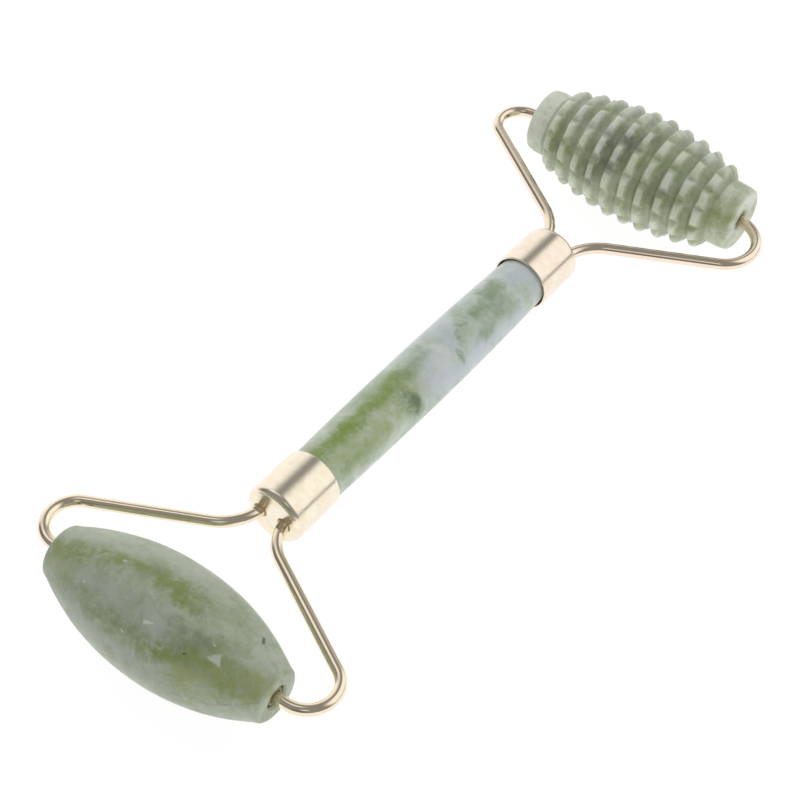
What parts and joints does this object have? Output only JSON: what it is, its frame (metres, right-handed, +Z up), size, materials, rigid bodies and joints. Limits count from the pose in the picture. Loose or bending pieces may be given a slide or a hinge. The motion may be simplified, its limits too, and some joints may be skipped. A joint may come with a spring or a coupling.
{
  "type": "jade face roller",
  "caption": "Double-ended stone face roller: a round stone handle in metal end caps, with a smooth barrel roller and a ridged, toothed roller spinning in bent wire yokes.",
  "frame": {"origin": "the middle of the base of the whole object, lying on its two rollers", "axes": "+X along the roller axes, to the right with the smooth roller towards the viewer; +Y along the handle from the smooth roller to the ridged roller; +Z up"},
  "size_m": [0.0578, 0.1514, 0.0206],
  "materials": {
    "handle_jade": "polished, mottled green and grey-white",
    "roller_jade": "satin, mottled sage green",
    "gold_plate": "polished champagne-gold plating",
    "nylon": "natural, slightly translucent",
    "epoxy": "hardened amber adhesive"
  },
  "bodies": {
    "frame": {"handle": "handle_jade", "smooth_end_cap": "gold_plate", "ridged_end_cap": "gold_plate", "smooth_yoke_wire": "gold_plate", "ridged_yoke_wire": "gold_plate", "smooth_cap_adhesive": "epoxy", "ridged_cap_adhesive": "epoxy"},
    "smooth_roller_body": {"smooth_roller": "roller_jade", "smooth_roller_bush_left": "nylon", "smooth_roller_bush_right": "nylon"},
    "ridged_roller_body": {"ridged_roller": "roller_jade", "ridged_roller_bush_left": "nylon", "ridged_roller_bush_right": "nylon"}
  },
  "joints": [
    {"name": "smooth_roller_spin", "type": "hinge", "parent": "frame", "child": "smooth_roller_body", "pos_m": [0, -0.066, 0.0097], "axis": [1, 0, 0], "continuous": true},
    {"name": "ridged_roller_spin", "type": "hinge", "parent": "frame", "child": "ridged_roller_body", "pos_m": [0, 0.06538, 0.01032], "axis": [1, 0, 0], "continuous": true}
  ]
}
